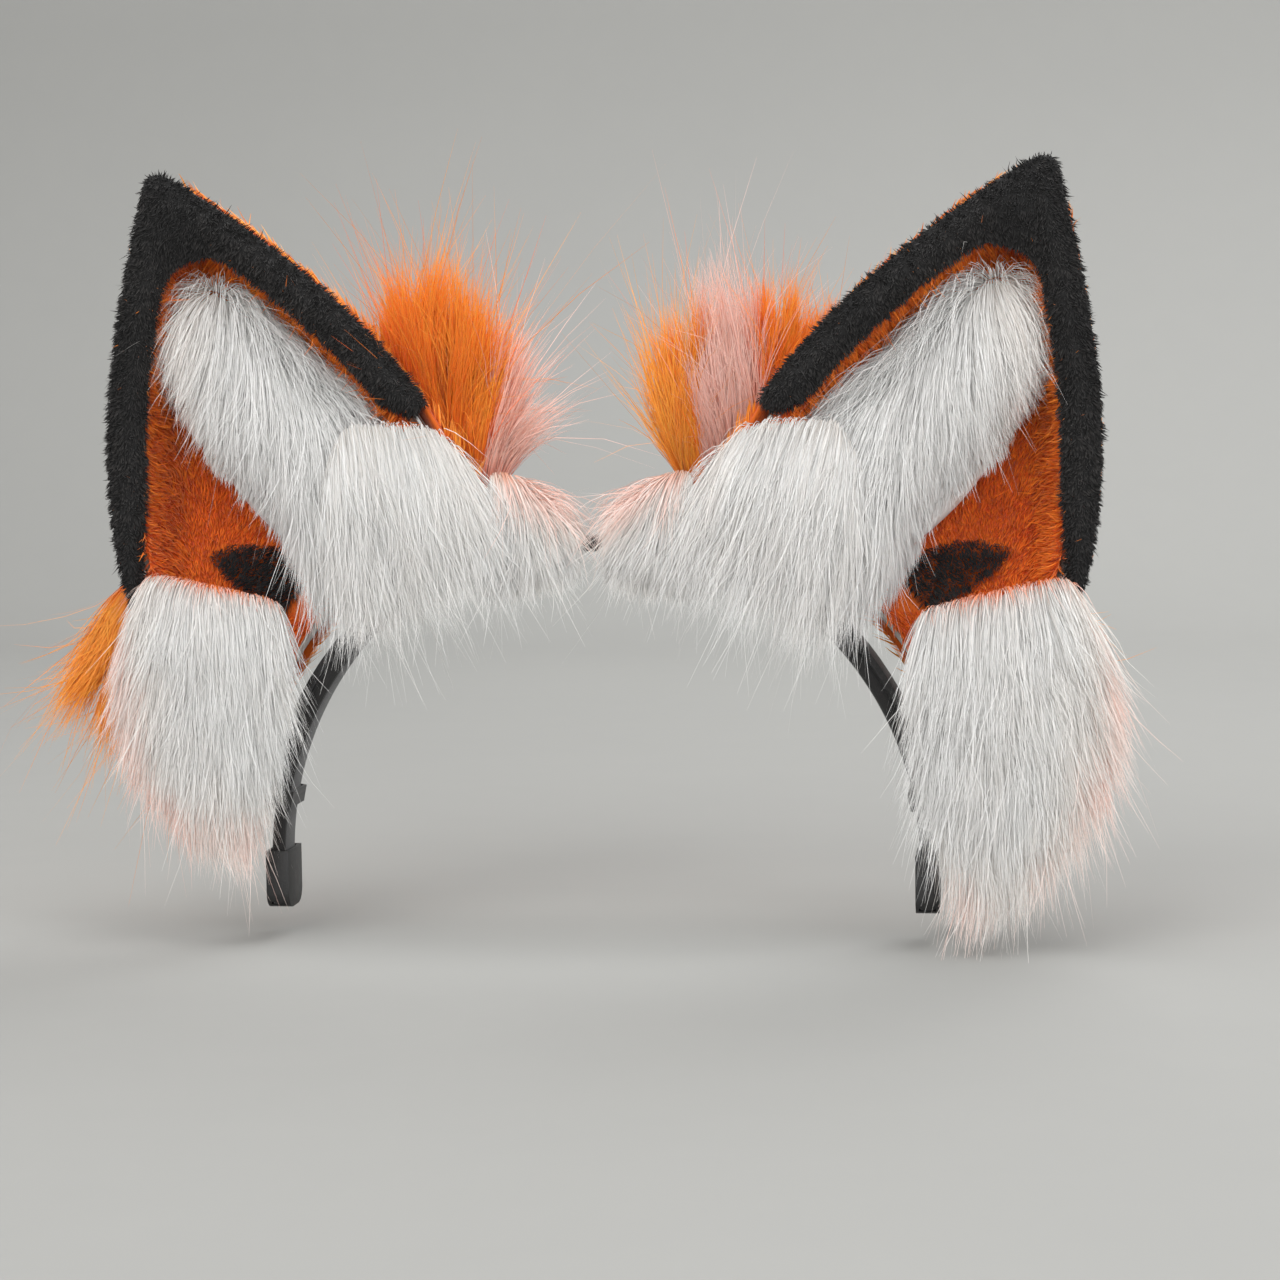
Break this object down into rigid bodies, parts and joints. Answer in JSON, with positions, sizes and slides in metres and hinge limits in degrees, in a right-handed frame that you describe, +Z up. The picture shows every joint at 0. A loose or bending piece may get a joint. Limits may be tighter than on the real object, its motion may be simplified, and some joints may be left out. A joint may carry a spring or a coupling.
{
  "type": "animal ears headband",
  "caption": "Sprung headband with upright cupped fox ears in faux fur: black rims, orange lining and backs, and long white fluff.",
  "frame": {"origin": "on the inner face of the band, at the middle of its flat crown section", "axes": "+Z up, +X to the right of someone facing the open cups, the cups open toward -Y"},
  "size_m": [0.2632, 0.0511, 0.1826],
  "materials": {
    "spring_steel": "satin",
    "wire": "satin",
    "black_velvet": "matte",
    "black_cap": "matte",
    "black_felt": "matte",
    "black_thread": "matte",
    "foam": "matte",
    "orange_plush": "matte",
    "orange_fur": "matte",
    "black_plush": "matte",
    "white_fur": "matte"
  },
  "bodies": {
    "crown": {"crown_band_spring": "spring_steel", "crown_band_sleeve": "black_velvet"},
    "right_arm": {"right_band_spring": "spring_steel", "right_band_sleeve": "black_velvet", "right_end_cap": "black_cap", "right_ear_base_pad": "black_felt", "right_inner_wire_foot": "wire", "right_outer_wire_foot": "wire", "right_inner_thread_tie": "black_thread", "right_outer_thread_tie": "black_thread", "right_crown_fur": "white_fur"},
    "right_ear": {"right_wire_frame": "wire", "right_foam_stiffener": "foam", "right_back_cover": "orange_fur", "right_cup_lining": "orange_plush", "right_rim_plush": "black_plush", "right_inner_fluff": "white_fur", "right_brow_fluff": "white_fur", "right_canal_patch": "black_plush", "right_lower_tuft": "white_fur", "right_upper_rear_tuft": "orange_fur", "right_outer_rear_tuft": "orange_fur"},
    "left_arm": {"left_band_spring": "spring_steel", "left_band_sleeve": "black_velvet", "left_end_cap": "black_cap", "left_ear_base_pad": "black_felt", "left_inner_wire_foot": "wire", "left_outer_wire_foot": "wire", "left_inner_thread_tie": "black_thread", "left_outer_thread_tie": "black_thread", "left_crown_fur": "white_fur"},
    "left_ear": {"left_wire_frame": "wire", "left_foam_stiffener": "foam", "left_back_cover": "orange_fur", "left_cup_lining": "orange_plush", "left_rim_plush": "black_plush", "left_inner_fluff": "white_fur", "left_brow_fluff": "white_fur", "left_canal_patch": "black_plush", "left_lower_tuft": "white_fur", "left_upper_rear_tuft": "orange_fur", "left_outer_rear_tuft": "orange_fur"}
  },
  "joints": [
    {"name": "right_arm_flex", "type": "hinge", "parent": "crown", "child": "right_arm", "pos_m": [0.008, 0, 0.00165], "axis": [0, -1, 0], "range_deg": [-10, 10], "stiffness_Nm_per_rad": 1.2},
    {"name": "left_arm_flex", "type": "hinge", "parent": "crown", "child": "left_arm", "pos_m": [-0.008, 0, 0.00165], "axis": [0, 1, 0], "range_deg": [-10, 10], "stiffness_Nm_per_rad": 1.2},
    {"name": "right_ear_bend", "type": "hinge", "parent": "right_arm", "child": "right_ear", "pos_m": [0.05728, -0.0045, -0.0231], "axis": [0.6644, 0, -0.7473], "range_deg": [-15, 15]},
    {"name": "left_ear_bend", "type": "hinge", "parent": "left_arm", "child": "left_ear", "pos_m": [-0.05728, -0.0045, -0.0231], "axis": [0.6644, 0, 0.7473], "range_deg": [-15, 15]}
  ]
}
